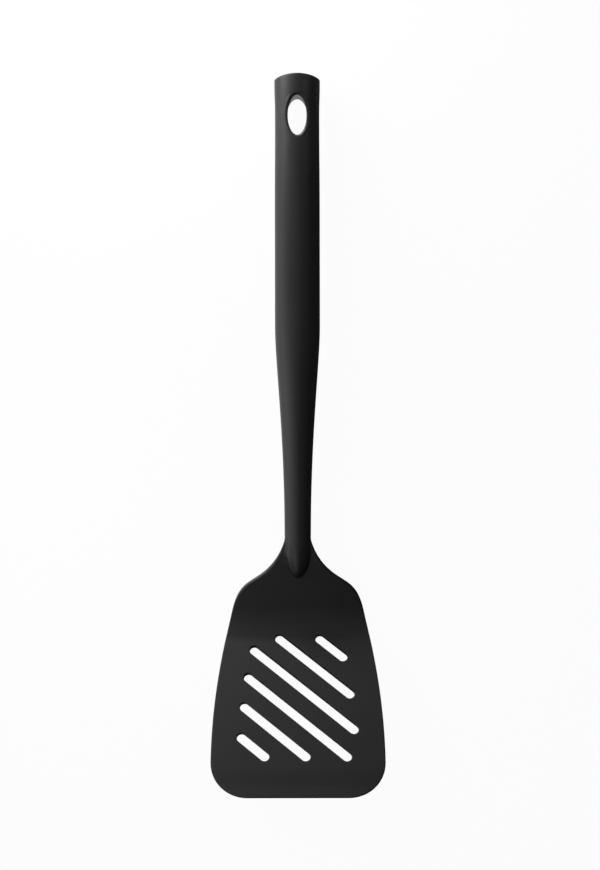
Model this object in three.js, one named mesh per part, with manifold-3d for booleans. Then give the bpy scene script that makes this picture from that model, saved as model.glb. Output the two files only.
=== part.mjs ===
// Slotted pancake turner, lying on its back as on a table: handle along +Y, blade tip at -Y, food side up.
// Millimetres and degrees. The heel of the blade and the end of the grip both touch the table at z = 0.
import * as THREE from 'three';
import { mergeVertices } from 'three/addons/utils/BufferGeometryUtils.js';
import Module from 'manifold-3d';

const wasm = await Module();
wasm.setup();

// Grip, measured from the joint at the narrowest part of the neck
const gripLength = 221.2;
const neckRadius = 6.25;
const gripRadius = 10.75;
const waistRadius = 10.57;
const endRadius = 10.87;
const taperLength = 102;
const taperEaseAtNeck = 50;
const taperEaseAtGrip = 18.5;
const waistReach = 46;
const domeHeight = 3.2;
const domeFullness = 0.76;
const endEdge = 0.6;
const gripWall = 3;
const boreWall = 2.3;

// Joint between head and grip
const fitGap = 0.3;
const neckWall = 1.85;
const tangLength = 62;
const barbHeight = 1;
const barbLength = 5;
const barbLand = 1;
const fingerSlitWidth = 1.4;
const fingerSlitLength = 20;

// Stiffening rod
const rodRadius = 2;
const rodInNeck = 4;

// Hanging hole
const holeWidth = 10.2;
const holeHeight = 20.8;
const holeFromEnd = 18;
const bushWall = 1.5;
const mouthRounding = 0.8;

// End cap
const capSpigotWall = 1.8;
const capFaceThickness = 2.2;
const capFootRing = 5;

// Blade side profile
const bladeTilt = 30;
const heelRadius = 22.4;
const heelFromTip = 91.1;
const heelFromJoint = 41.7;
const neckBendRadius = 20;
const neckRun = 2;

// Blade thickness
const plateAtNeck = 3.2;
const plateAtHeel = 2.9;
const plateAtRamp = 1.9;
const plateAtLip = 1.2;
const lipLength = 6;
const rampLength = 6.3;
const edgeChamfer = 0.35;

// Blade outline; a lean is the millimetres that the edge moves in for each millimetre towards the neck
const bladeWidth = 82.6;
const tipCornerRadius = 17.5;
const sideEase = 27;
const shoulderWidth = 64;
const shoulderFromNeck = 37.5;
const shoulderLean = 0.22;
const shoulderEase = 13.2;
const shoulderEaseAtFlare = 4.8;
const flareWidth = 35.7;
const flareFromNeck = 18.6;
const flareLean = 1.32;
const flareEase = 7.2;
const flareEaseAtNeck = 1;

// Tongue that runs out on the blade; its taper is a power, lower for a blunter tip
const tongueStart = 5;
const tongueLength = 15.4;
const tongueBackLength = 9;
const tongueTaper = 0.75;

// Slots
const slotWidth = 5.2;
const slotAngle = 40.4;
const slotPitch = 12.64;
const slotOffset = 5;
const slotMargin = 14.4;
const slotFieldFromHeel = 11.2;
const slotFieldFromTip = 19.8;

// Fineness of the round forms
const turnSteps = 32;
const ovalSteps = 28;
const slotEndSteps = 8;
const taperSteps = 11;
const waistSteps = 4;
const hollowSteps = 6;
const bendSteps = 6;
const cornerSteps = 8;
const edgeSteps = 9;
const tongueSteps = 9;

const { degToRad, lerp, clamp } = THREE.MathUtils;
const fullTurn = 2 * Math.PI;
const quarterTurn = Math.PI / 2;
const at = (x, y) => new THREE.Vector2(x, y);

// The handle's axis is level, as high above the table as the widest part of the grip needs
const axisHeight = Math.max(endRadius, gripRadius);
const onAxis = new THREE.Matrix4().makeTranslation(0, 0, axisHeight);

// Closed mesh to solid, with shared corners merged and collapsed triangles left out
function toSolid(geometry) {
  const bare = geometry.clone();
  bare.deleteAttribute('normal');
  bare.deleteAttribute('uv');
  const merged = mergeVertices(bare);
  const corners = merged.index.array;
  const kept = [];
  for (let i = 0; i < corners.length; i += 3) {
    const [a, b, c] = corners.slice(i, i + 3);
    if (a !== b && b !== c && c !== a) kept.push(a, b, c);
  }
  return new wasm.Manifold(new wasm.Mesh({
    numProp: 3,
    vertProperties: new Float32Array(merged.getAttribute('position').array),
    triVerts: new Uint32Array(kept),
  }));
}

function toGeometry(body) {
  const mesh = body.getMesh();
  const geometry = new THREE.BufferGeometry();
  geometry.setAttribute('position', new THREE.Float32BufferAttribute(mesh.vertProperties, mesh.numProp));
  geometry.setIndex([...mesh.triVerts]);
  geometry.computeVertexNormals();
  return geometry;
}

// Skin over a row of rings with equal numbers of points, closed by flat fans at both ends
function loft(rings) {
  const count = rings[0].length;
  const points = rings.flat().flatMap((point) => point.toArray());
  const index = [];
  for (let i = 0; i + 1 < rings.length; i += 1) {
    for (let j = 0; j < count; j += 1) {
      const a = i * count + j;
      const b = i * count + ((j + 1) % count);
      index.push(a, b, b + count, a, b + count, a + count);
    }
  }
  const last = (rings.length - 1) * count;
  for (let j = 1; j + 1 < count; j += 1) {
    index.push(0, j + 1, j);
    index.push(last, last + j, last + j + 1);
  }
  const geometry = new THREE.BufferGeometry();
  geometry.setAttribute('position', new THREE.Float32BufferAttribute(points, 3));
  geometry.setIndex(index);
  return toSolid(geometry);
}

// Solid of revolution about the handle's axis, from a profile of (radius, distance along the handle)
function turned(profile) {
  return toSolid(new THREE.LatheGeometry(profile, turnSteps).applyMatrix4(onAxis));
}

function bezier(start, startHandle, endHandle, end, steps) {
  return new THREE.CubicBezierCurve(start, startHandle, endHandle, end).getPoints(steps);
}

// Value of x at a place y on a row of points that climbs in y
function readAcross(row, y) {
  const upper = Math.max(row.findIndex((point) => point.y >= y), 1);
  const a = row[upper - 1];
  const b = row[upper];
  return lerp(a.x, b.x, (y - a.y) / (b.y - a.y));
}

// Outside of the grip: eased taper, straight grip, slight waist at the hanging hole, flared domed end

const holeY = gripLength - holeFromEnd;

function gripOutline() {
  const taper = bezier(
    at(neckRadius, 0),
    at(neckRadius, taperEaseAtNeck),
    at(gripRadius, taperLength - taperEaseAtGrip),
    at(gripRadius, taperLength),
    taperSteps,
  );
  const waistStart = holeY - waistReach;
  const waistEase = waistReach / 2;
  const waist = bezier(
    at(gripRadius, waistStart),
    at(gripRadius, waistStart + waistEase),
    at(waistRadius, holeY - waistEase),
    at(waistRadius, holeY),
    waistSteps,
  );
  const edgeY = gripLength - endEdge;
  const flareReach = (edgeY - holeY) / 2;
  const flare = bezier(
    at(waistRadius, holeY),
    at(waistRadius, holeY + flareReach),
    at(endRadius, edgeY - flareReach),
    at(endRadius, edgeY),
    waistSteps,
  );
  return [...taper, ...waist, ...flare.slice(1)];
}

const gripEdgeCurve = gripOutline();

// Height of the domed end along the handle, at a distance from the axis
function domeAt(radius) {
  const share = radius / (endRadius - endEdge);
  return gripLength + domeHeight * (1 - share * share) ** domeFullness;
}

const domeRow = (widest, shares) => shares.map((share) => at(share * widest, domeAt(share * widest)));

function gripSkin() {
  const endRound = [15, 45, 75].map((angle) => at(
    endRadius - endEdge + endEdge * Math.cos(degToRad(angle)),
    gripLength - endEdge + endEdge * Math.sin(degToRad(angle)),
  ));
  const dome = domeRow(endRadius - endEdge, [1, 0.94, 0.82, 0.64, 0.36, 0]);
  return turned([at(0, 0), ...gripEdgeCurve, ...endRound, ...dome]);
}

// Hanging hole

// Oval bar right through the grip, larger than the hole by grow all round
function ovalBar(grow) {
  const shape = new THREE.Shape();
  shape.absellipse(0, holeY, holeWidth / 2 + grow, holeHeight / 2 + grow, 0, fullTurn);
  const depth = 4 * axisHeight;
  const bar = new THREE.ExtrudeGeometry(shape, { depth, bevelEnabled: false, curveSegments: ovalSteps / 2 });
  return toSolid(bar.translate(0, 0, axisHeight - depth / 2));
}

// Rounded mouth of the hole, which follows the round of the grip; side is 1 for the front, -1 for the back
function holeMouth(side) {
  const halfWay = mouthRounding * (1 - Math.SQRT1_2);
  const steps = [
    [0, 2 * mouthRounding],
    [0, mouthRounding],
    [halfWay, halfWay],
    [mouthRounding, 0],
    [mouthRounding, -mouthRounding],
  ];
  const rings = steps.map(([grow, depth]) => {
    const ring = [];
    for (let i = 0; i < ovalSteps; i += 1) {
      const turn = (side * fullTurn * i) / ovalSteps;
      const x = (holeWidth / 2 + grow) * Math.cos(turn);
      const y = holeY + (holeHeight / 2 + grow) * Math.sin(turn);
      const skin = Math.sqrt(waistRadius * waistRadius - x * x);
      ring.push(new THREE.Vector3(x, y, axisHeight + side * (skin - depth)));
    }
    return ring;
  });
  return loft(rings);
}

function hangingBush() {
  const liner = ovalBar(bushWall).intersect(gripSkin()).subtract(ovalBar(0));
  return liner.subtract(holeMouth(1)).subtract(holeMouth(-1));
}

const bushWindow = () => ovalBar(bushWall + fitGap);

// Hollow grip: socket for the tang, hollow that follows the outside, bore for the end cap

const boreRadius = endRadius - boreWall;
const spigotEnd = holeY - holeHeight / 2 - bushWall - fitGap - capFootRing;
const capSeat = spigotEnd - fitGap;
const socketRadius = neckRadius - neckWall;
const barbStart = tangLength - barbLength;
const socketEnd = barbStart - fitGap;

function handleGrip() {
  const hollow = [];
  for (let i = 0; i <= hollowSteps; i += 1) {
    const y = lerp(socketEnd, capSeat, i / hollowSteps);
    hollow.push(at(readAcross(gripEdgeCurve, y) - gripWall, y));
  }
  const past = gripLength + 2 * domeHeight;
  const inside = turned([
    at(0, -fitGap),
    at(socketRadius, -fitGap),
    at(socketRadius, socketEnd),
    ...hollow,
    at(boreRadius, capSeat),
    at(boreRadius, past),
    at(0, past),
  ]);
  return gripSkin().subtract(inside).subtract(bushWindow());
}

// End cap: domed face, and a spigot that reaches past the hanging hole to its seat in the bore

function endCap() {
  const outer = boreRadius - fitGap;
  const inner = outer - capSpigotWall;
  const faceBack = gripLength - capFaceThickness;
  const body = turned([
    at(0, faceBack),
    at(inner, faceBack),
    at(inner, spigotEnd),
    at(outer, spigotEnd),
    ...domeRow(outer, [1, 0.66, 0.33, 0]),
  ]);
  return body.subtract(bushWindow());
}

// Stiffening rod, from its seat in the neck to the end of the tang

const rodSeat = -rodInNeck;
const rodBoreEnd = rodSeat - fitGap;

function coreRod() {
  const length = tangLength - fitGap - rodSeat;
  const rod = new THREE.CylinderGeometry(rodRadius, rodRadius, length, turnSteps / 2);
  return toSolid(rod.translate(0, rodSeat + length / 2, 0).applyMatrix4(onAxis));
}

// Tang with a barbed end, and the cuts that bore it for the rod and split it into four fingers

const tangRadius = socketRadius - fitGap;

function tang() {
  return turned([
    at(0, rodBoreEnd),
    at(tangRadius, rodBoreEnd),
    at(tangRadius, barbStart),
    at(tangRadius + barbHeight, barbStart),
    at(tangRadius + barbHeight, barbStart + barbLand),
    at(tangRadius - barbHeight, tangLength),
    at(0, tangLength),
  ]);
}

function rodBore() {
  const radius = rodRadius + fitGap;
  const past = tangLength + barbLength;
  return turned([at(0, rodBoreEnd), at(radius, rodBoreEnd), at(radius, past), at(0, past)]);
}

function fingerSlit(turn) {
  const slit = new THREE.BoxGeometry(fingerSlitWidth, 2 * fingerSlitLength, 4 * tangRadius);
  return toSolid(slit.rotateY(turn).translate(0, tangLength, 0).applyMatrix4(onAxis));
}

// Blade side profile: the underside runs from the tip over the heel and up the shoulders to the neck.
// The shoulders are the straight line that touches both bends, so the heel stays level with the grip's end.

const tilt = degToRad(bladeTilt);
const neckBack = axisHeight - plateAtNeck / 2;
const bends = heelRadius + neckBendRadius;
const shoulderRun = heelFromJoint - neckRun;
const shoulderSlope = Math.asin(bends / Math.hypot(shoulderRun, bends - neckBack))
  - Math.atan2(bends - neckBack, shoulderRun);
const shoulderStraight = shoulderRun * Math.cos(shoulderSlope) + (neckBack - bends) * Math.sin(shoulderSlope);
const heelStart = heelFromTip - heelRadius * tilt;
const heelEnd = heelFromTip + heelRadius * shoulderSlope;
const neckBendStart = heelEnd + shoulderStraight;
const neckBendEnd = neckBendStart + neckBendRadius * shoulderSlope;
const plateLength = neckBendEnd + neckRun - edgeChamfer;

// Angle of the underside at a distance along it from the tip: falling blade, level heel, rising shoulders
function slopeAt(s) {
  if (s < neckBendStart) return clamp((s - heelFromTip) / heelRadius, -tilt, shoulderSlope);
  return Math.max(shoulderSlope - (s - neckBendStart) / neckBendRadius, 0);
}

// Point of the underside in (y, z)
function undersideAt(s) {
  const { sin, cos } = Math;
  const heelTurn = clamp((s - heelFromTip) / heelRadius, -tilt, shoulderSlope);
  const bladeStraight = Math.max(heelStart - s, 0);
  const climb = clamp(s - heelEnd, 0, shoulderStraight);
  const left = s > neckBendStart ? slopeAt(s) : shoulderSlope;
  const y = -heelFromJoint + heelRadius * sin(heelTurn) - bladeStraight * cos(tilt)
    + climb * cos(shoulderSlope) + neckBendRadius * (sin(shoulderSlope) - sin(left))
    + Math.max(s - neckBendEnd, 0);
  const z = heelRadius * (1 - cos(heelTurn)) + bladeStraight * sin(tilt)
    + climb * sin(shoulderSlope) + neckBendRadius * (cos(left) - cos(shoulderSlope));
  return at(y, z);
}

// Distance from the tip at which the underside reaches a place along the handle, between heel and neck
function stationAt(y) {
  let low = heelFromTip;
  let high = plateLength;
  for (let halving = 0; halving < 40; halving += 1) {
    const middle = (low + high) / 2;
    if (undersideAt(middle).x < y) low = middle;
    else high = middle;
  }
  return low;
}

const rampEnd = lipLength + rampLength;
const thicknessRow = [
  at(plateAtLip, 0),
  at(plateAtLip, lipLength),
  at(plateAtRamp, rampEnd),
  at(plateAtHeel, heelFromTip),
  at(plateAtNeck, plateLength),
];
const thicknessAt = (s) => readAcross(thicknessRow, s);

// Point of the plate at a distance across, along and above the underside
function onPlate(across, s, above) {
  const base = undersideAt(s);
  const slope = slopeAt(s);
  return new THREE.Vector3(across, base.x - above * Math.sin(slope), base.y + above * Math.cos(slope));
}

// Half outline of the blade as (half width, distance from the tip): tip corner, side, shoulder, flare
function halfOutline() {
  const half = bladeWidth / 2;
  const corner = [];
  for (let i = 0; i < cornerSteps; i += 1) {
    const turn = (quarterTurn * i) / cornerSteps;
    corner.push(at(
      half - tipCornerRadius * (1 - Math.sin(turn)),
      tipCornerRadius * (1 - Math.cos(turn)),
    ));
  }
  const widest = at(half, tipCornerRadius);
  const shoulder = at(shoulderWidth / 2, plateLength - shoulderFromNeck);
  const flare = at(flareWidth / 2, plateLength - flareFromNeck);
  const neck = at(neckRadius - edgeChamfer, plateLength);
  const side = bezier(
    widest,
    at(half, widest.y + sideEase),
    at(shoulder.x + shoulderLean * sideEase, shoulder.y - sideEase),
    shoulder,
    edgeSteps,
  );
  const turnIn = bezier(
    shoulder,
    at(shoulder.x - shoulderLean * shoulderEase, shoulder.y + shoulderEase),
    at(flare.x + flareLean * shoulderEaseAtFlare, flare.y - shoulderEaseAtFlare),
    flare,
    edgeSteps,
  );
  const runOut = bezier(
    flare,
    at(flare.x - flareLean * flareEase, flare.y + flareEase),
    at(neck.x, neck.y - flareEaseAtNeck),
    neck,
    edgeSteps,
  );
  return [...corner, ...side, ...turnIn.slice(1), ...runOut.slice(1)];
}

const bladeEdge = halfOutline();
const halfWidthAt = (s) => readAcross(bladeEdge, s);

// Distances along the plate at which it has a cross section: outline points and the steps of each bend
function plateStations() {
  const stations = [lipLength, rampEnd, plateLength];
  for (let i = 0; i <= bendSteps; i += 1) {
    stations.push(lerp(heelStart, heelEnd, i / bendSteps));
    stations.push(lerp(neckBendStart, neckBendEnd, i / bendSteps));
  }
  const onStraights = bladeEdge.filter(({ y }) => y < heelStart || (y > heelEnd && y < neckBendStart));
  stations.push(...onStraights.map(({ y }) => y));
  stations.sort((a, b) => a - b);
  return stations.filter((s, i) => i === 0 || s - stations[i - 1] > edgeChamfer);
}

function bladePlate() {
  const fromNeck = plateStations().reverse();
  return loft(fromNeck.map((s) => {
    const half = halfWidthAt(s);
    const inset = half - edgeChamfer;
    const top = thicknessAt(s);
    return [
      onPlate(inset, s, 0),
      onPlate(half, s, edgeChamfer),
      onPlate(half, s, top - edgeChamfer),
      onPlate(inset, s, top),
      onPlate(-inset, s, top),
      onPlate(-half, s, top - edgeChamfer),
      onPlate(-half, s, edgeChamfer),
      onPlate(-inset, s, 0),
    ];
  }));
}

// Neck and tongue: round at the joint, then narrowing to a rounded tip that sinks into the blade

function neckAndTongue() {
  const stations = [0, tongueStart / 2];
  for (let i = 0; i <= tongueSteps; i += 1) {
    stations.push(tongueStart + tongueLength * Math.sin((quarterTurn * i) / tongueSteps));
  }
  const sunk = plateAtHeel / 4;
  return loft(stations.map((down) => {
    const s = stationAt(-down);
    const middle = onPlate(0, s, thicknessAt(s) / 2).z;
    const share = clamp((down - tongueStart) / tongueLength, 0, 1);
    const backShare = clamp((down - tongueStart) / tongueBackLength, 0, 1);
    const halfWidth = Math.max(neckRadius * (1 - share * share) ** tongueTaper, sunk);
    const front = Math.max(neckRadius * Math.sqrt(1 - share * share), sunk);
    const back = Math.max(neckRadius * (1 - backShare * backShare), sunk);
    const ring = [];
    for (let i = 0; i < turnSteps; i += 1) {
      const turn = (fullTurn * i) / turnSteps;
      const rise = Math.sin(turn);
      const height = rise * (rise > 0 ? front : back);
      ring.push(new THREE.Vector3(halfWidth * Math.cos(turn), -down, middle + height));
    }
    return ring;
  }));
}

// Slots: parallel round-ended cuts that fill a field kept clear of the blade's edges.
// Field points are (across, distance from the heel towards the tip).

const slotTurn = degToRad(slotAngle);
const slotAlong = at(Math.cos(slotTurn), Math.sin(slotTurn));
const slotAcross = at(Math.sin(slotTurn), -Math.cos(slotTurn));
const fieldLength = heelFromTip - slotFieldFromTip;

function inSlotField(point) {
  const inLength = point.y >= slotFieldFromHeel && point.y <= fieldLength;
  return inLength && Math.abs(point.x) + slotMargin <= halfWidthAt(heelFromTip - point.y);
}

// First and last place of a slot's centre line that lie in the field
function slotEnds(number) {
  const fieldMiddle = at(0, (slotFieldFromHeel + fieldLength) / 2);
  const middle = fieldMiddle.addScaledVector(slotAcross, slotOffset + number * slotPitch);
  const step = slotWidth / 100;
  const inside = [];
  for (let reach = -bladeWidth; reach <= bladeWidth; reach += step) {
    const point = middle.clone().addScaledVector(slotAlong, reach);
    if (inSlotField(point)) inside.push(point);
  }
  return inside.length * step > slotWidth ? [inside[0], inside.at(-1)] : null;
}

function slotCut([start, end]) {
  const radius = slotWidth / 2;
  const shape = new THREE.Shape();
  shape.absarc(0, 0, radius, quarterTurn, 3 * quarterTurn);
  shape.absarc(start.distanceTo(end), 0, radius, -quarterTurn, quarterTurn);
  const depth = 6 * plateAtHeel;
  const cut = new THREE.ExtrudeGeometry(shape, { depth, bevelEnabled: false, curveSegments: slotEndSteps });
  cut.translate(0, 0, -depth / 2).rotateZ(-slotTurn).translate(start.x, heelFromTip - heelStart - start.y, 0);
  const bladeRoot = undersideAt(heelStart);
  return toSolid(cut.rotateX(-tilt).translate(0, bladeRoot.x, bladeRoot.y));
}

function slotCuts() {
  const most = Math.ceil(plateLength / slotPitch);
  const cuts = [];
  for (let number = -most; number <= most; number += 1) {
    const ends = slotEnds(number);
    if (ends) cuts.push(slotCut(ends));
  }
  return cuts;
}

// Head of the turner, in one moulding with its tang

function bladeHead() {
  const cuts = [rodBore(), fingerSlit(0), fingerSlit(quarterTurn), ...slotCuts()];
  const blank = bladePlate().add(neckAndTongue()).add(tang());
  return cuts.reduce((head, cut) => head.subtract(cut), blank);
}

// Materials, one for each piece

const mouldedNylon = () => new THREE.MeshStandardMaterial({ color: 0x1d1d1e, roughness: 0.5, metalness: 0 });
const drawnSteel = () => new THREE.MeshStandardMaterial({ color: 0xb9bbbd, roughness: 0.35, metalness: 1 });

// Assembly, moved so that the middle of its footprint is the origin

const group = new THREE.Group();

function addPiece(name, body, material) {
  const mesh = new THREE.Mesh(toGeometry(body), material);
  mesh.name = name;
  group.add(mesh);
}

addPiece('blade_head', bladeHead(), mouldedNylon());
addPiece('core_rod', coreRod(), drawnSteel());
addPiece('handle_grip', handleGrip(), mouldedNylon());
addPiece('end_cap', endCap(), mouldedNylon());
addPiece('hanging_bush', hangingBush(), mouldedNylon());

const box = new THREE.Box3().setFromObject(group);
group.position.set(0, -(box.min.y + box.max.y) / 2, -box.min.z);
group.updateMatrixWorld(true);

export default group;
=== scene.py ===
import math

import bmesh
import bpy
import numpy as np
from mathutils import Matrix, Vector
from mathutils.geometry import delaunay_2d_cdt


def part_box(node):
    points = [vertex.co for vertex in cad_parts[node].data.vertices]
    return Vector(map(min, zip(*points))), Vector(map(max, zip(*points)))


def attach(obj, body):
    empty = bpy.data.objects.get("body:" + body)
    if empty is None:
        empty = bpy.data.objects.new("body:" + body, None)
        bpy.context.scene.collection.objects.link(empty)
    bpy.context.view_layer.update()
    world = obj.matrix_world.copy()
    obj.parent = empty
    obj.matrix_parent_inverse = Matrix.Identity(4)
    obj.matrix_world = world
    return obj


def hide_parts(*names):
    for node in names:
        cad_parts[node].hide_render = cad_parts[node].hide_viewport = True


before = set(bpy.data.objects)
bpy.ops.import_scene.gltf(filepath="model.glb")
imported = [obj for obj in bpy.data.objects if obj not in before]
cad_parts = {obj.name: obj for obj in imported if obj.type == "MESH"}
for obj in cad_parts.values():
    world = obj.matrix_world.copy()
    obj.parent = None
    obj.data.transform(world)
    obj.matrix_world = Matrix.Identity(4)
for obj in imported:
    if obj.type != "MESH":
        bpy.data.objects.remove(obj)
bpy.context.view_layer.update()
print("frame loaded:", sorted(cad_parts))

# Shapes are worked out in millimetres from the joint between head and grip, then moved into the frame
mm = 0.001
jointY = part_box("handle_grip")[0].y / mm
axisZ = 11.04  # as the grip lies on the table
seam = {"edge": 0.02, "edgeMiddle": 0.3, "gap": 0.02}  # broken edges and the hairline between pieces


# Colour and nodes

def hexColour(code):
    parts = [int(code[i:i + 2], 16) / 255 for i in (1, 3, 5)]
    linear = [c / 12.92 if c <= 0.04045 else ((c + 0.055) / 1.055) ** 2.4 for c in parts]
    return (*linear, 1)


def addNode(tree, kind, settings=None, links=None):
    node = tree.nodes.new("ShaderNode" + kind)
    for name, value in (settings or {}).items():
        if name in node.inputs:
            node.inputs[name].default_value = value
        else:
            setattr(node, name, value)
    for name, output in (links or {}).items():
        tree.links.new(output, node.inputs[name])
    return node


def newMaterial(name):
    material = bpy.data.materials.new(name)
    material.use_nodes = True
    material.node_tree.nodes.clear()
    return material, material.node_tree


# Black nylon, injection moulded against a spark-eroded tool: a satin skin that glows softly to the light.
# The eye sees a fine even grain up close, and slow changes of gloss along the piece where the melt cooled.
nylon = {"ior": 1.46, "flowRange": (0.3, 0.7), "flowDetail": 3, "grainDetail": 4}  # solid nylon has 1.53


def mouldedNylon(name, look):
    material, tree = newMaterial(name)
    place = addNode(tree, "TexCoord").outputs["Object"]
    flow = addNode(tree, "TexNoise", {"Scale": 1 / (look["flowSize"] * mm), "Detail": nylon["flowDetail"]},
                   {"Vector": place})
    grain = addNode(tree, "TexNoise", {"Scale": 1 / (look["grainSize"] * mm), "Detail": nylon["grainDetail"]},
                    {"Vector": place})
    colour = addNode(tree, "ValToRGB", None, {"Fac": flow.outputs["Fac"]})
    for element, share, tone in zip(colour.color_ramp.elements, nylon["flowRange"], ("dark", "light")):
        element.position = share
        element.color = hexColour(look[tone])
    low, high = nylon["flowRange"]
    smooth, dull = look["roughness"]
    gloss = addNode(tree, "MapRange", {"From Min": low, "From Max": high, "To Min": smooth, "To Max": dull},
                    {"Value": flow.outputs["Fac"]})
    skin = addNode(tree, "Bump", {"Strength": look["grainStrength"], "Distance": look["grainDepth"] * mm},
                   {"Height": grain.outputs["Fac"]})
    shader = addNode(tree, "BsdfPrincipled", {"IOR": nylon["ior"]}, {
        "Base Color": colour.outputs["Color"], "Roughness": gloss.outputs["Result"],
        "Normal": skin.outputs["Normal"]})
    addNode(tree, "OutputMaterial", None, {"Surface": shader.outputs["BSDF"]})
    return material


# Stainless rod, cold drawn: bright metal with fine lines along its length
def drawnSteel(name, look):
    material, tree = newMaterial(name)
    place = addNode(tree, "TexCoord").outputs["Object"]
    pitch = 1 / (look["lineSpacing"] * mm)
    along = addNode(tree, "Mapping", {"Scale": (pitch, pitch / look["lineStretch"], pitch)},
                    {"Vector": place})
    lines = addNode(tree, "TexNoise", {"Scale": 1, "Detail": look["lineDetail"]},
                    {"Vector": along.outputs["Vector"]})
    smooth, dull = look["roughness"]
    gloss = addNode(tree, "MapRange", {"To Min": smooth, "To Max": dull}, {"Value": lines.outputs["Fac"]})
    scratches = addNode(tree, "Bump", {"Strength": look["lineStrength"], "Distance": look["lineDepth"] * mm},
                        {"Height": lines.outputs["Fac"]})
    shader = addNode(tree, "BsdfPrincipled", {"Base Color": hexColour(look["colour"]), "Metallic": 1}, {
        "Roughness": gloss.outputs["Result"], "Normal": scratches.outputs["Normal"]})
    addNode(tree, "OutputMaterial", None, {"Surface": shader.outputs["BSDF"]})
    return material


# Mesh helpers: a patch is (points in millimetres, faces)

meshing = {"weldReach": 0.002, "sharpAngle": 38}  # patches are welded, and sharper edges stay crisp


def gridFaces(rows, columns, closedRows, closedColumns):
    faces = []
    for i in range(rows if closedRows else rows - 1):
        for j in range(columns if closedColumns else columns - 1):
            k = (j + 1) % columns
            below = ((i + 1) % rows) * columns
            faces.append((i * columns + j, i * columns + k, below + k, below + j))
    return faces


def gridPatch(points, closedRows=False, closedColumns=False):
    rows, columns = points.shape[:2]
    return points.reshape(-1, 3), gridFaces(rows, columns, closedRows, closedColumns)


def makePiece(name, patches, material, node):
    points, faces = [], []
    for patchPoints, patchFaces in patches:
        start = len(points)
        points.extend((x * mm, (y + jointY) * mm, z * mm) for x, y, z in patchPoints)
        faces.extend([start + i for i in face] for face in patchFaces)
    mesh = bpy.data.meshes.new(name)
    mesh.from_pydata(points, [], faces)
    build = bmesh.new()
    build.from_mesh(mesh)
    bmesh.ops.remove_doubles(build, verts=build.verts, dist=meshing["weldReach"] * mm)
    bmesh.ops.recalc_face_normals(build, faces=build.faces)
    openEdges = sum(1 for edge in build.edges if not edge.is_manifold)
    build.to_mesh(mesh)
    build.free()
    mesh.shade_smooth()
    mesh.set_sharp_from_angle(angle=math.radians(meshing["sharpAngle"]))
    mesh.materials.append(material)
    piece = bpy.data.objects.new(name, mesh)
    bpy.context.scene.collection.objects.link(piece)
    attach(piece, "root")
    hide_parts(node)
    print(name, "faces:", len(mesh.polygons), "open edges:", openEdges)


def bezier(start, startHandle, endHandle, end, steps):
    t = np.linspace(0, 1, steps + 1)[:, None]
    a, b, c, d = (np.array(point, float) for point in (start, startHandle, endHandle, end))
    return a * (1 - t) ** 3 + 3 * b * t * (1 - t) ** 2 + 3 * c * t ** 2 * (1 - t) + d * t ** 3


def quarterRound(steps):
    turn = np.linspace(0, math.pi / 2, steps + 1)
    return 1 - np.sin(turn), 1 - np.cos(turn)  # inset and depth for a radius of 1


def fullTurn(columns):
    return np.arange(columns) * 2 * math.pi / columns


# Rings round the grip's axis, each (radius, y)
def lathe(profile, columns):
    radius, y = np.array(profile, float).T
    turn = fullTurn(columns)
    rows = np.empty((len(radius), columns, 3))
    rows[..., 0] = radius[:, None] * np.sin(turn)
    rows[..., 1] = y[:, None]
    rows[..., 2] = axisZ + radius[:, None] * np.cos(turn)
    return gridPatch(rows, closedColumns=True)


# Outside of the grip, shared by the grip, the cap and the bush

grip = {
    "length": 221.2, "neckRadius": 6.4, "gripRadius": 10.92, "waistRadius": 10.74, "endRadius": 11.04,
    "taperLength": 102, "taperEaseAtNeck": 50, "taperEaseAtGrip": 18.5, "waistReach": 46,
    "archHeight": 1.7, "archFullness": 0.95, "archEdge": 0.3, "endEdge": 0.6, "rimRound": 0.4,
    "wall": 3.15, "boreWall": 2.47, "neckWall": 2, "socketLength": 56.7, "boreLength": 35.5,
    "columns": 96, "ringSpacing": 1.6, "curveSteps": 60, "rimSteps": 6, "faceRings": 8, "hollowRings": 30,
    "windowSides": 22, "windowRings": 11, "windowCrowding": 1.7,
    # the real grain is finer than a pixel, and is drawn as coarse as it needs to show
    "look": {"dark": "#141415", "light": "#181819", "roughness": (0.46, 0.52), "flowSize": 60,
             "grainSize": 0.35, "grainStrength": 0.12, "grainDepth": 0.03},
}
# The mouths of the hole have half widths and half heights, which grow by the rounding towards the skin
hole = {
    "width": 10.2, "height": 20.8, "fromEnd": 18, "bushWall": 1.5, "middle": -0.28,
    "front": {"halves": (4.52, 9.6), "rounding": (1.6, 1.1), "depth": 1.1},
    "back": {"halves": (5.35, 10.8), "rounding": (0.5, 0.45), "depth": 0.48},
}
holeY = grip["length"] - hole["fromEnd"]


# Radius along the outside, as rows of (radius, y): taper, waist at the hole and flare to the end
def gripCurve():
    g = grip
    steps = g["curveSteps"]
    edgeY = g["length"] - g["endEdge"]
    waistStart = holeY - g["waistReach"]
    waistMiddle = (waistStart + holeY) / 2
    reach = (edgeY - holeY) / 2
    taper = bezier((g["neckRadius"], 0), (g["neckRadius"], g["taperEaseAtNeck"]),
                   (g["gripRadius"], g["taperLength"] - g["taperEaseAtGrip"]),
                   (g["gripRadius"], g["taperLength"]), steps)
    waist = bezier((g["gripRadius"], waistStart), (g["gripRadius"], waistMiddle),
                   (g["waistRadius"], waistMiddle), (g["waistRadius"], holeY), steps)
    flare = bezier((g["waistRadius"], holeY), (g["waistRadius"], holeY + reach),
                   (g["endRadius"], edgeY - reach), (g["endRadius"], edgeY), steps)
    return np.vstack((taper, waist, flare[1:]))


curve = gripCurve()


def gripRadius(y):
    return np.interp(y, curve[:, 1], curve[:, 0])


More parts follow.
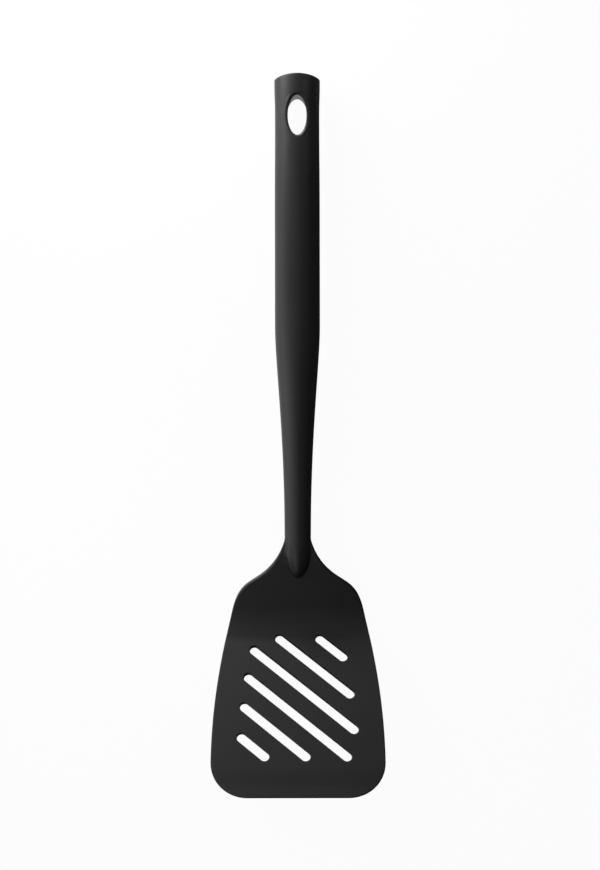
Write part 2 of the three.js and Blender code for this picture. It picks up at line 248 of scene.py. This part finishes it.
# Height of the end, which is arched from side to side and straight from front to back
def endHeight(x):
    share = np.clip(x / (grip["endRadius"] - grip["archEdge"]), -1, 1)
    return grip["length"] + grip["archHeight"] * (1 - share ** 2) ** grip["archFullness"]


# Rings of an end piece: each row is (radius, drop below the end) or (radius, None, y)
def endRings(rows, columns):
    turn = fullTurn(columns)
    points = np.empty((len(rows), columns, 3))
    for ring, (radius, drop, *level) in zip(points, rows):
        ring[:, 0] = radius * np.sin(turn)
        ring[:, 1] = level[0] if level else endHeight(ring[:, 0]) - drop
        ring[:, 2] = axisZ + radius * np.cos(turn)
    return gridPatch(points, closedColumns=True)


# Points of an oval round the hanging hole, made larger by grow, at a depth below a round skin
def ovalLoop(turn, grow, depth, skin, side):
    x = (hole["width"] / 2 + grow) * np.cos(turn)
    y = holeY + (hole["height"] / 2 + grow) * np.sin(turn)
    z = axisZ + side * (np.sqrt(skin(y) ** 2 - x ** 2) - depth)
    return np.stack((x, y, z), axis=-1)


# Half of the grip's end with an oval window: rings of quads from the oval to the half's border
def windowedHalf(low, high, grow, skin, side):
    across = np.linspace(-math.pi / 2, math.pi / 2, grip["columns"] // 2 + 1)
    up = np.linspace(low, high, grip["windowSides"] + 1)
    border = np.array([(a, low) for a in across[:-1]] + [(across[-1], y) for y in up[:-1]]
                      + [(a, high) for a in across[:0:-1]] + [(across[0], y) for y in up[:0:-1]])
    turn = np.arctan2((border[:, 1] - holeY) / (high - low), border[:, 0] / math.pi)
    oval = ovalLoop(turn, grow, 0, skin, side)
    ovalPlaces = np.stack((np.arcsin(oval[:, 0] / skin(oval[:, 1])), oval[:, 1]), axis=-1)
    share = np.linspace(0, 1, grip["windowRings"])[:, None, None] ** grip["windowCrowding"]
    places = ovalPlaces * (1 - share) + border * share
    radius = skin(places[..., 1])
    points = np.stack((radius * np.sin(places[..., 0]), places[..., 1],
                       axisZ + side * radius * np.cos(places[..., 0])), axis=-1)
    return gridPatch(points, closedColumns=True), turn


def makeGrip():
    g = grip
    edge = seam["edge"]
    bore = g["endRadius"] - g["boreWall"]
    socket = g["neckRadius"] - g["neckWall"]
    edgeY = g["length"] - g["endEdge"]
    seat = g["length"] - g["boreLength"]
    windowLow = 2 * holeY - edgeY
    window = hole["bushWall"] + seam["gap"]

    def boreSkin(y):
        return np.full_like(y, bore)

    outside = [(g["neckRadius"] - edge, 0)]
    rings = np.linspace(edge, windowLow, round(windowLow / g["ringSpacing"]))
    outside += [(gripRadius(y), y) for y in rings]
    inset, depth = quarterRound(g["rimSteps"])
    end = [(g["endRadius"], None, edgeY)]
    end += [(g["endRadius"] - g["rimRound"] * d, g["rimRound"] * i) for i, d in zip(inset, depth)]
    end += [(r, 0) for r in np.linspace(g["endRadius"] - g["rimRound"], bore + edge, g["faceRings"])[1:]]
    end += [(bore, edge), (bore, None, edgeY)]
    hollow = [(gripRadius(y) - g["wall"], y) for y in np.linspace(seat, g["socketLength"], g["hollowRings"])]
    inside = [(bore, windowLow), (bore, seat), *hollow, (socket, g["socketLength"]), (socket, 0),
              (g["neckRadius"] - edge, 0)]
    patches = [lathe(outside, g["columns"]), endRings(end, g["columns"]), lathe(inside, g["columns"])]
    broken = edge * seam["edgeMiddle"]
    for side in (1, -1):
        outer, turn = windowedHalf(windowLow, edgeY, window + edge, gripRadius, side)
        inner = windowedHalf(windowLow, edgeY, window, boreSkin, side)[0]
        wall = [ovalLoop(turn, window + edge, 0, gripRadius, side),
                ovalLoop(turn, window + broken, broken, gripRadius, side),
                ovalLoop(turn, window, edge, gripRadius, side),
                ovalLoop(turn, window, 0, boreSkin, side)]
        patches += [outer, inner, gridPatch(np.array(wall), closedColumns=True)]
    makePiece("gripSleeve", patches, mouldedNylon("nylonMouldedGrip", g["look"]),
              "handle_grip")


cap = {"skirtLength": 4.4, "skirtWall": 1.8, "faceThickness": 2.2, "columns": 96, "faceRings": 20,
       "look": {**grip["look"], "flowSize": 25}}


def makeCap():
    edge = seam["edge"]
    outer = grip["endRadius"] - grip["boreWall"] - seam["gap"]
    inner = outer - cap["skirtWall"]
    skirtEnd = grip["length"] - cap["skirtLength"]
    faceBack = grip["length"] - cap["faceThickness"]
    rows = [(0, None, faceBack), (inner, None, faceBack), (inner, None, skirtEnd), (outer, None, skirtEnd),
            (outer, edge), *((r, 0) for r in np.linspace(outer - edge, 0, cap["faceRings"]))]
    makePiece("endCapArch", [endRings(rows, cap["columns"])],
              mouldedNylon("nylonMouldedCap", cap["look"]), "end_cap")


bush = {"columns": 120, "mouthEase": 0.4, "roundSteps": 10, "wallSteps": 8, "wallTop": 0.5,
        "look": {**grip["look"], "roughness": (0.42, 0.48), "flowSize": 20}}


def mouthLoop(turn, halves, depth, side):
    x = halves[0] * np.cos(turn)
    y = holeY + hole["middle"] + halves[1] * np.sin(turn)
    return np.stack((x, y, axisZ + side * (np.sqrt(gripRadius(y) ** 2 - x ** 2) - depth)), axis=-1)


def makeBush():
    edge = seam["edge"]
    wall = hole["bushWall"]
    turn = fullTurn(bush["columns"])
    ease = bush["mouthEase"]
    inset, depth = bezier((1, 0), (1 - ease, 0), (0, 1 - ease), (0, 1), bush["roundSteps"]).T
    mouths = []
    for mouth, side in ((hole["front"], 1), (hole["back"], -1)):
        halves, rounding = np.array(mouth["halves"]), np.array(mouth["rounding"])
        loops = [ovalLoop(turn, wall, bush["wallTop"], gripRadius, side),
                 ovalLoop(turn, wall, edge, gripRadius, side),
                 ovalLoop(turn, wall - edge, 0, gripRadius, side)]
        loops += [mouthLoop(turn, halves + rounding * i, mouth["depth"] * d, side)
                  for i, d in zip(inset, depth)]
        mouths.append(loops)
    front, back = mouths
    shares = np.linspace(0, 1, bush["wallSteps"] + 1)[1:-1]
    through = [front[-1] * (1 - share) + back[-1] * share for share in shares]
    rows = np.array([*front, *through, *back[::-1]])
    makePiece("hangingBushLiner", [gridPatch(rows, closedRows=True, closedColumns=True)],
              mouldedNylon("nylonMouldedBush", bush["look"]), "hanging_bush")


makeGrip()
makeCap()
makeBush()

# Head: one moulding of blade, shoulders, tongue and neck, with the tang that goes up inside the grip

blade = {
    "tilt": 30, "heelRadius": 22.4, "heelFromTip": 91.1, "heelFromJoint": 41.7,
    "neckBendRadius": 30, "neckRun": 4, "neckRise": 0.5, "neckInset": 0.3,
    "atLip": 1.2, "atRamp": 1.9, "atHeel": 2.9, "atNeck": 4.2,  # thicknesses
    "lipLength": 6, "rampLength": 6.3, "rampEase": 2.5, "thicknessStep": 0.05, "thicknessMargin": 5,
    "width": 82.94, "cornerRadius": 17.5, "sideEase": 27,
    "shoulderWidth": 64.34, "shoulderFromNeck": 37.5, "shoulderLean": 0.22, "shoulderEase": 13.2,
    "shoulderEaseAtFlare": 4.8, "flareWidth": 36.04, "flareFromNeck": 18.6, "flareLean": 1.32,
    "flareEase": 7.2, "flareEaseAtNeck": 1,
    "cornerPoints": 40, "sideSteps": 80, "shoulderSteps": 60, "flareSteps": 60, "outlineSpacing": 0.85,
    "edgeRound": 0.5, "edgeSteps": 6, "edgeFlat": 0.25,
    "sheetEnd": 85, "gridSpacing": 1.35, "gridClearance": 0.8, "gridTolerance": 1e-6,
    "columns": 80, "columnSpread": 3.0,
    # the real grain is finer than a pixel, and is drawn as coarse as it needs to show
    "look": {"dark": "#141415", "light": "#181819", "roughness": (0.46, 0.54), "flowSize": 45,
             "grainSize": 0.35, "grainStrength": 0.14, "grainDepth": 0.03},
}
tongue = {
    "start": 4.5, "length": 15.2, "backLength": 22, "halfWidth": 6.2, "nose": 1.8, "flank": 0.65,
    "mixReach": 0.4, "blend": 0.4, "least": 1e-3, "halvings": 34, "searchMargin": 2, "searchCentre": 0.1,
}
slots = {
    "width": 4.6, "angle": 40.4, "pitch": 12.64, "offset": 5, "margin": 14.4, "fromHeel": 11.2,
    "fromTip": 19.8, "tries": 8, "stepsPerWidth": 100,
    "edgeRound": 0.45, "edgeSteps": 5, "edgeFlat": 0.2, "endSteps": 20, "spacing": 1.3,
    # what each slot gains at its two ends
    "longer": ((0.05, -0.6), (-0.3, -0.5), (-0.4, -0.35), (-1, 0), (1.05, -0.4), (0.85, -1.25)),
}
tang = {"radius": 4.1, "length": 62, "barbHeight": 1, "barbLength": 5, "barbLand": 1,
        "boreRadius": 2.3, "boreEnd": -4.3}

# Side profile of the underside: falling blade, heel, straight shoulders and the bend into the neck
tilt = math.radians(blade["tilt"])
bends = blade["heelRadius"] + blade["neckBendRadius"]
neckBack = axisZ + blade["neckRise"] - blade["atNeck"] / 2
shoulderRun = blade["heelFromJoint"] - blade["neckRun"]
shoulderSlope = (math.asin(bends / math.hypot(shoulderRun, bends - neckBack))
                 - math.atan2(bends - neckBack, shoulderRun))
shoulderStraight = shoulderRun * math.cos(shoulderSlope) + (neckBack - bends) * math.sin(shoulderSlope)
heelStart = blade["heelFromTip"] - blade["heelRadius"] * tilt
heelEnd = blade["heelFromTip"] + blade["heelRadius"] * shoulderSlope
neckBendStart = heelEnd + shoulderStraight
neckBendEnd = neckBendStart + blade["neckBendRadius"] * shoulderSlope
plateLength = neckBendEnd + blade["neckRun"] - blade["neckInset"]


# Along the plate, s is the distance from the tip
def heelTurnAt(s):
    return np.clip((s - blade["heelFromTip"]) / blade["heelRadius"], -tilt, shoulderSlope)


def slopeAt(s):
    neck = np.maximum(shoulderSlope - (s - neckBendStart) / blade["neckBendRadius"], 0)
    return np.where(s < neckBendStart, heelTurnAt(s), neck)


def undersideAt(s):
    heelTurn = heelTurnAt(s)
    fall = np.maximum(heelStart - s, 0)
    climb = np.clip(s - heelEnd, 0, shoulderStraight)
    left = np.where(s > neckBendStart, slopeAt(s), shoulderSlope)
    y = (-blade["heelFromJoint"] + blade["heelRadius"] * np.sin(heelTurn) - fall * math.cos(tilt)
         + climb * math.cos(shoulderSlope)
         + blade["neckBendRadius"] * (math.sin(shoulderSlope) - np.sin(left))
         + np.maximum(s - neckBendEnd, 0))
    z = (blade["heelRadius"] * (1 - np.cos(heelTurn)) + fall * math.sin(tilt)
         + climb * math.sin(shoulderSlope)
         + blade["neckBendRadius"] * (np.cos(left) - math.cos(shoulderSlope)))
    return y, z


def easedThickness():
    step, margin = blade["thicknessStep"], blade["thicknessMargin"]
    places = np.arange(-margin, plateLength + margin, step)
    rampEnd = blade["lipLength"] + blade["rampLength"]
    knots = (0, blade["lipLength"], rampEnd, blade["heelFromTip"], plateLength)
    values = np.interp(places, knots, [blade[k] for k in ("atLip", "atLip", "atRamp", "atHeel", "atNeck")])
    window = np.ones(round(blade["rampEase"] / step))
    eased = np.convolve(values, window / len(window), "same")
    inner = slice(len(window), -len(window))
    return places[inner], eased[inner]


thicknessPlaces, thicknessValues = easedThickness()


def thicknessAt(s):
    return np.interp(s, thicknessPlaces, thicknessValues)


def onPlate(x, s, above):
    y, z = undersideAt(s)
    slope = slopeAt(s)
    return np.stack(np.broadcast_arrays(x, y - above * np.sin(slope), z + above * np.cos(slope)), axis=-1)


def leaning(amount):
    return np.array((-amount, 1))


# Half outline as (half width, distance from the tip), from the middle of the tip to the neck
def halfOutline():
    b = blade
    half, corner = b["width"] / 2, b["cornerRadius"]
    turn = np.linspace(0, math.pi / 2, b["cornerPoints"])
    tip = np.stack((half - corner + corner * np.sin(turn), corner * (1 - np.cos(turn))), axis=-1)
    shoulder = np.array((b["shoulderWidth"] / 2, plateLength - b["shoulderFromNeck"]))
    flare = np.array((b["flareWidth"] / 2, plateLength - b["flareFromNeck"]))
    neckHalf = grip["neckRadius"] - b["neckInset"]
    shoulderLean, flareLean = leaning(b["shoulderLean"]), leaning(b["flareLean"])
    side = bezier((half, corner), (half, corner + b["sideEase"]),
                  shoulder - b["sideEase"] * shoulderLean, shoulder, b["sideSteps"])
    turnIn = bezier(shoulder, shoulder + b["shoulderEase"] * shoulderLean,
                    flare - b["shoulderEaseAtFlare"] * flareLean, flare, b["shoulderSteps"])
    runOut = bezier(flare, flare + b["flareEase"] * flareLean,
                    (neckHalf, plateLength - b["flareEaseAtNeck"]), (neckHalf, plateLength), b["flareSteps"])
    neckEnd = plateLength + b["neckInset"] - seam["edge"]
    line = np.vstack(((0, 0), tip, side[1:], turnIn[1:], runOut[1:], (neckHalf, neckEnd)))
    length = np.concatenate(((0,), np.cumsum(np.hypot(*np.diff(line, axis=0).T))))
    even = np.linspace(0, length[-1], round(length[-1] / b["outlineSpacing"]) + 1)
    return np.stack((np.interp(even, length, line[:, 0]), np.interp(even, length, line[:, 1])), axis=-1)


outline = halfOutline()


def halfWidthAt(s):
    return np.interp(s, outline[:, 1], outline[:, 0])


def outwardNormals(line):
    along = np.gradient(line, axis=0)
    along /= np.hypot(*along.T)[:, None]
    return np.stack((along[:, 1], -along[:, 0]), axis=-1)


# Rounded edge in rows from front to back: inset, share of the thickness, height added, normal out and up
def edgeProfile(rounding, steps, flat):
    inset, depth = quarterRound(steps)
    turn = np.linspace(0, math.pi / 2, steps + 1)
    front = [(rounding + flat, 1, 0, 0, 1)]
    front += [(rounding * i, 1, -rounding * d, math.sin(a), math.cos(a))
              for i, d, a in zip(inset, depth, turn)]
    back = [(inset, 0, -added, out, -up) for inset, share, added, out, up in front[::-1]]
    return np.array(front + back)


def smoothMin(a, b, reach):
    share = np.clip(0.5 + 0.5 * (b - a) / reach, 0, 1)
    return b * (1 - share) + a * share - reach * share * (1 - share)


# Plate points pushed out from the middle of their section to the round neck, which sinks into the back of
# the plate and runs out on its front as a rounded tongue, half an oval in plan
def withTongue(x, s, above, normalX, normalH):
    x, s, above, normalX, normalH = np.broadcast_arrays(x, s, above, normalX, normalH)
    middle = thicknessAt(s) / 2
    height = above - middle
    y, z = undersideAt(s)
    slope = slopeAt(s)
    down = -(y - middle * np.sin(slope))
    axis = (axisZ - z) / np.cos(slope) - middle  # the neck's axis, from the plate's middle
    radius = grip["neckRadius"]
    share = np.clip((down - tongue["start"]) / tongue["length"], 0, 1)
    backShare = np.clip((down - tongue["start"]) / tongue["backLength"], 0, 1)
    narrowed = np.maximum(radius * (1 - backShare ** 2), tongue["least"])
    outward = x * normalX + height * normalH

    # The scale at which a point leaves the neck, by halving
    low = np.ones_like(x)
    fromMiddle = np.maximum(np.hypot(x, height), tongue["searchCentre"])
    high = 1 + 2 * (radius + tongue["searchMargin"]) / fromMiddle
    for halving in range(tongue["halvings"]):
        scale = (low + high) / 2
        toNeck = np.hypot(scale * x, scale * height - axis) - narrowed
        inside = smoothMin((scale - 1) * outward, toNeck, tongue["blend"]) < 0
        low = np.where(inside, scale, low)
        high = np.where(inside, high, scale)
    push = np.where(backShare < 1, low, 1)

    # The tongue takes over from the round neck on the front
    halfWidth = np.maximum(tongue["halfWidth"] * np.sqrt(1 - share ** 2), tongue["least"])
    mix = np.clip(share / tongue["mixReach"], 0, 1)
    mix = mix * mix * (3 - 2 * mix)
    mix = np.where(height > 0, mix, 0)
    crown = np.maximum(axis + radius - middle, 0) * np.sqrt(1 - share ** tongue["nose"])
    hump = crown * (1 - np.clip(x / halfWidth, -1, 1) ** 2) ** tongue["flank"]
    across = push * x * (1 - mix) + x * mix
    upward = push * height * (1 - mix) + (height + hump) * mix
    return onPlate(across, s, middle + upward)


def heading(angle):
    return np.array((math.cos(angle), math.sin(angle)))


# Middles of a slot's two round ends, or None where the slot would be shorter than its width
def slotEnds(number):
    angle = math.radians(slots["angle"])
    fieldLength = blade["heelFromTip"] - slots["fromTip"]
    middle = np.array((0, (slots["fromHeel"] + fieldLength) / 2))
    middle += np.array((math.sin(angle), -math.cos(angle))) * (slots["offset"] + number * slots["pitch"])
    reach = np.arange(-blade["width"], blade["width"], slots["width"] / slots["stepsPerWidth"])
    places = middle + reach[:, None] * heading(angle)
    halfWidth = halfWidthAt(blade["heelFromTip"] - places[:, 1])
    inField = (places[:, 1] >= slots["fromHeel"]) & (places[:, 1] <= fieldLength)
    inside = places[inField & (np.abs(places[:, 0]) + slots["margin"] <= halfWidth)]
    if len(inside) <= slots["stepsPerWidth"]:
        return None
    ends = inside[[0, -1]]
    return np.stack((ends[:, 0], blade["heelFromTip"] - ends[:, 1]), axis=-1)


def stretched(ends, longer):
    along = ends[1] - ends[0]
    along = along / np.hypot(*along)
    return np.array((ends[0] - along * longer[0], ends[1] + along * longer[1]))


# Round-ended loop of a slot as centres and outward directions, so that it can grow
def slotLoop(start, end):
    run = end - start
    length = np.hypot(*run)
    facing = math.atan2(run[1], run[0])
    turn = np.linspace(-math.pi / 2, math.pi / 2, slots["endSteps"] + 1)
    steps = np.linspace(0, 1, round(length / slots["spacing"]) + 1)[1:-1, None]
    centres, normals = [], []
    for centre, other, angle in ((end, start, facing), (start, end, facing + math.pi)):
        centres += [np.repeat(centre[None], len(turn), axis=0), centre + (other - centre) * steps]
        normals += [np.stack((np.cos(angle + turn), np.sin(angle + turn)), axis=-1),
                    np.repeat(heading(angle + math.pi / 2)[None], len(steps), axis=0)]
    return np.vstack(centres), np.vstack(normals)


# Walls of the slots, and the loops that they leave in the front of the sheet
def slotWalls(ends):
    profile = edgeProfile(slots["edgeRound"], slots["edgeSteps"], slots["edgeFlat"])
    inset, share, added = profile.T[:3, :, None]
    walls, holes = [], []
    for pair in ends:
        centres, directions = slotLoop(*pair)
        places = centres + (slots["width"] / 2 + inset[..., None]) * directions
        x, s = places[..., 0], places[..., 1]
        walls.append(gridPatch(onPlate(x, s, share * thicknessAt(s) + added), closedColumns=True))
        holes.append(places[0])
    return walls, holes


def distanceTo(places, start, end):
    run = end - start
    share = np.clip((places - start) @ run / (run @ run), 0, 1)
    return np.hypot(*(places - start - share[:, None] * run).T)


# Triangles of the sheet in (across, along), with an even staggered grid between its border and the slots
def sheetTriangles(border, holes):
    spacing = blade["gridSpacing"]
    low, high = border.min(axis=0), border.max(axis=0)
    grid = []
    for row, s in enumerate(np.arange(low[1], high[1], spacing * math.sqrt(3) / 2)):
        offset = spacing / 2 if row % 2 else 0
        grid += [(x, s) for x in np.arange(low[0] + offset, high[0], spacing)]
    grid = np.array(grid)
    fixed = np.vstack((border, *holes))
    nearest = np.array([np.min(np.hypot(*(fixed - point).T)) for point in grid])
    places = np.vstack((fixed, grid[nearest > blade["gridClearance"] * spacing]))
    edges, start = [], 0
    for loop in (border, *holes):
        count = len(loop)
        edges += [(start + i, start + (i + 1) % count) for i in range(count)]
        start += count
    found = delaunay_2d_cdt([tuple(place) for place in places], edges, [], 1, blade["gridTolerance"])
    places = np.array([(place.x, place.y) for place in found[0]])
    return places, [tuple(face) for face in found[2]]


# Front and back of the slotted sheet
def sheetSides(border, holes, ends):
    places, triangles = sheetTriangles(border, holes)
    middles = np.array([places[list(face)].mean(axis=0) for face in triangles])
    reach = slots["width"] / 2 + slots["edgeRound"] + slots["edgeFlat"]
    inSlot = np.any([distanceTo(middles, *pair) < reach for pair in ends], axis=0)
    kept = [face for face, dropped in zip(triangles, inSlot) if not dropped]
    x, s = places.T
    return [(onPlate(x, s, height), kept) for height in (thicknessAt(s), np.zeros(len(s)))]


# Neck's end face, tang with its barb, and the bore for the rod, from the ring of points at the joint
def tangPatch(ring):
    t = tang
    spoke = ring[:, [0, 2]] - (0, axisZ)
    spoke /= np.hypot(*spoke.T)[:, None]
    barb = t["length"] - t["barbLength"]
    barbRadius = t["radius"] + t["barbHeight"]
    turned = [(grip["neckRadius"] - seam["edge"], 0), (t["radius"], 0), (t["radius"], barb),
              (barbRadius, barb), (barbRadius, barb + t["barbLand"]),
              (t["radius"] - t["barbHeight"], t["length"]), (t["boreRadius"], t["length"]),
              (t["boreRadius"], t["boreEnd"]), (0, t["boreEnd"])]
    rows = [np.stack((r * spoke[:, 0], np.full(len(spoke), y), axisZ + r * spoke[:, 1]), axis=-1)
            for r, y in turned]
    return gridPatch(np.array([ring, *rows]), closedColumns=True)


def makeHead():
    b = blade
    mirror = (-1, 1)
    border = np.vstack((outline[:0:-1] * mirror, outline))
    rightNormals = outwardNormals(np.vstack((outline[1:2] * mirror, outline)))[1:]
    normals = np.vstack((rightNormals[:0:-1] * mirror, rightNormals))

    # Edge all round the blade, from one side of the neck over the tip to the other
    profile = edgeProfile(b["edgeRound"], b["edgeSteps"], b["edgeFlat"])
    inset, share, added, out, up = profile.T[..., None]
    edgeX = border[:, 0] - inset * normals[:, 0]
    edgeS = border[:, 1] - inset * normals[:, 1]
    edge = withTongue(edgeX, edgeS, share * thicknessAt(edgeS) + added, out * normals[:, 0], up)

    # Shoulders and neck, in rows from the sheet's end to the joint
    inner = np.stack((edgeX[0], edgeS[0]), axis=-1)
    right = inner[-len(outline):]
    firstRow = int(np.argmax(right[:, 1] > b["sheetEnd"]))
    rowX, rowS = right[firstRow:, :1], right[firstRow:, 1:]
    spread = np.sinh(b["columnSpread"] * np.linspace(-1, 1, b["columns"] + 1)) / math.sinh(b["columnSpread"])
    front = withTongue(rowX * spread, rowS, thicknessAt(rowS), 0, 1)
    back = withTongue(rowX * spread, rowS, 0, 0, -1)

    # Slots
    found = [slotEnds(number) for number in range(-slots["tries"], slots["tries"] + 1)]
    ends = [pair for pair in found if pair is not None]
    ends = [stretched(pair, longer) for pair, longer in zip(ends, slots["longer"])]
    walls, holes = slotWalls(ends)
    print("slots:", len(holes))

    # Slotted sheet, which joins the shoulders along their first row
    skip = len(right) - firstRow - 1
    joinRow = np.stack((rowX[0] * spread, np.full(len(spread), rowS[0, 0])), axis=-1)
    sheetBorder = np.vstack((inner[skip:len(inner) - skip], joinRow[-2:0:-1]))
    sides = sheetSides(sheetBorder, holes, ends)

    ring = np.vstack((front[-1], edge[1:-1, -1], back[-1][::-1], edge[1:-1, 0][::-1]))
    patches = [gridPatch(edge), gridPatch(front), gridPatch(back), *walls, *sides, tangPatch(ring)]
    makePiece("bladeHeadMoulding", patches, mouldedNylon("nylonMouldedHead", b["look"]),
              "blade_head")


makeHead()

rod = {"look": {"colour": "#b9bbbd", "lineSpacing": 0.12, "lineStretch": 60, "lineDepth": 0.004,
                "lineStrength": 0.2, "lineDetail": 3, "roughness": (0.22, 0.38)}}
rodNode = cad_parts["core_rod"]
rodNode.data.materials.clear()
rodNode.data.materials.append(drawnSteel("steelDrawnRod", rod["look"]))
print("pieces made")

# Table: white to the eye and in reflections, with a plain diffuse share that keeps the soft shadow
table = {"size": 24, "colour": "#f4f4f4", "whiteShare": 0.96}


def makeTable():
    half = table["size"] / 2
    corners = [(-half, -half, 0), (half, -half, 0), (half, half, 0), (-half, half, 0)]
    mesh = bpy.data.meshes.new("table")
    mesh.from_pydata(corners, [], [(0, 1, 2, 3)])
    floor = bpy.data.objects.new("table", mesh)
    bpy.context.scene.collection.objects.link(floor)
    material, tree = newMaterial("paperWhiteSweep")
    path = addNode(tree, "LightPath").outputs
    seen = addNode(tree, "Math", {"operation": "MAXIMUM"},
                   {0: path["Is Camera Ray"], 1: path["Is Glossy Ray"]})
    shown = addNode(tree, "Math", {"operation": "MAXIMUM"},
                    {0: seen.outputs[0], 1: path["Is Transmission Ray"]})
    share = addNode(tree, "Math", {"operation": "MULTIPLY"}, {0: shown.outputs[0]})
    share.inputs[1].default_value = table["whiteShare"]
    paper = addNode(tree, "BsdfDiffuse", {"Color": hexColour(table["colour"])})
    glow = addNode(tree, "Emission", {"Color": (1, 1, 1, 1), "Strength": 1})
    mixed = addNode(tree, "MixShader", None, {0: share.outputs[0], 1: paper.outputs[0], 2: glow.outputs[0]})
    addNode(tree, "OutputMaterial", None, {"Surface": mixed.outputs[0]})
    mesh.materials.append(material)


makeTable()

# Camera straight above the table, with the handle pointing up the picture
view = {"height": 950, "pixel": 0.4855, "across": 1.15, "along": 48.985, "roll": -0.09,
        "imageHeight": 870, "sensor": 36}


def makeCamera():
    data = bpy.data.cameras.new("camera")
    data.sensor_width = view["sensor"]
    data.lens = view["height"] / view["pixel"] * view["sensor"] / view["imageHeight"]
    camera = bpy.data.objects.new("camera", data)
    camera.location = (view["across"] * mm, (jointY + view["along"]) * mm, (axisZ + view["height"]) * mm)
    camera.rotation_euler = (0, 0, math.radians(view["roll"]))
    bpy.context.scene.collection.objects.link(camera)
    bpy.context.scene.camera = camera


makeCamera()

# Light: soft lamps low at the left and beside the grip's end, and weaker ones above, at the blade and at
# the right. Places and sizes are in metres, powers in watts.
lamps = {
    "softboxLow": {"place": (-0.743, 0, 0.104), "aim": (0, 0, 0), "size": 0.4, "power": 1.26},
    "softboxEnd": {"place": (-0.103, 0.339, 0.075), "aim": (0, 0.16, 0), "size": 0.16, "power": 0.78},
    "softboxEndLeft": {"place": (-0.179, 0.263, 0.075), "aim": (0, 0.16, 0), "size": 0.16, "power": 0.44},
    "softboxHigh": {"place": (-0.158, 0.275, 0.68), "aim": (0, 0, 0), "size": 0.7, "power": 0.45},
    "softboxTip": {"place": (-0.265, -0.459, 0.53), "aim": (0, 0, 0), "size": 0.4, "power": 0.62},
    "softboxHeel": {"place": (-0.156, -0.01, 0.126), "aim": (0, -0.1, 0), "size": 0.12, "power": 0.07},
    "softboxBlade": {"place": (-0.126, -0.1, 0.18), "aim": (0, -0.1, 0), "size": 0.12, "power": 0.05},
    "fillAbove": {"place": (0, 0, 0.75), "aim": (0, 0, 0), "size": 0.5, "power": 0.18},
    "fillRight": {"place": (0.53, 0, 0.53), "aim": (0, 0, 0), "size": 0.5, "power": 0.2},
    "fillEnd": {"place": (0.135, 0.238, 0.156), "aim": (0, 0.16, 0), "size": 0.12, "power": 0.05},
}
room = {"light": 0.01, "seen": 0.97}  # dim, but white behind the table to the eye


def makeLamp(name, lamp):
    data = bpy.data.lights.new(name, "AREA")
    data.shape = "DISK"
    data.size = lamp["size"]
    data.energy = lamp["power"]
    light = bpy.data.objects.new(name, data)
    light.location = lamp["place"]
    light.rotation_euler = (Vector(lamp["aim"]) - light.location).to_track_quat("-Z", "Y").to_euler()
    light.visible_camera = False
    bpy.context.scene.collection.objects.link(light)


for name, lamp in lamps.items():
    makeLamp(name, lamp)


def makeRoom():
    world = bpy.data.worlds.new("room")
    world.use_nodes = True
    tree = world.node_tree
    tree.nodes.clear()
    direct = addNode(tree, "LightPath").outputs["Is Camera Ray"]
    dim = addNode(tree, "Background", {"Color": (1, 1, 1, 1), "Strength": room["light"]})
    white = addNode(tree, "Background", {"Color": (1, 1, 1, 1), "Strength": room["seen"]})
    mixed = addNode(tree, "MixShader", None, {0: direct, 1: dim.outputs[0], 2: white.outputs[0]})
    addNode(tree, "OutputWorld", None, {"Surface": mixed.outputs[0]})
    bpy.context.scene.world = world


makeRoom()

# Grey card on the table, right of the grip and under the blade, with a slanted edge between the two. It is
# seen in the gloss alone, as painted shade that stands in for the table's shade beside the grip, and it
# keeps the table's white out of the right flank.
paintedShadeCard = {"corners": ((-36, -800), (800, -800), (800, 600), (12, 600), (12, 10), (-36, -110)),
        "height": 0.3, "colour": "#6e6e6e"}


def makePaintedShadeCard():
    mesh = bpy.data.meshes.new("paintedShadeCard")
    points = [(x * mm, y * mm, paintedShadeCard["height"] * mm) for x, y in paintedShadeCard["corners"]]
    mesh.from_pydata(points, [], [tuple(range(len(points)))])
    sheet = bpy.data.objects.new("paintedShadeCard", mesh)
    bpy.context.scene.collection.objects.link(sheet)
    material, tree = newMaterial("greyPaperPaintedShade")
    # painted shade: this grey sets how dark the right flank reflects, in place of the table's real shade
    paper = addNode(tree, "BsdfDiffuse", {"Color": hexColour(paintedShadeCard["colour"])})
    addNode(tree, "OutputMaterial", None, {"Surface": paper.outputs[0]})
    mesh.materials.append(material)
    sheet.visible_camera = False
    sheet.visible_diffuse = False
    sheet.visible_shadow = False
    sheet.visible_transmission = False


makePaintedShadeCard()
bpy.context.scene.view_settings.view_transform = "Standard"
print("stage set")
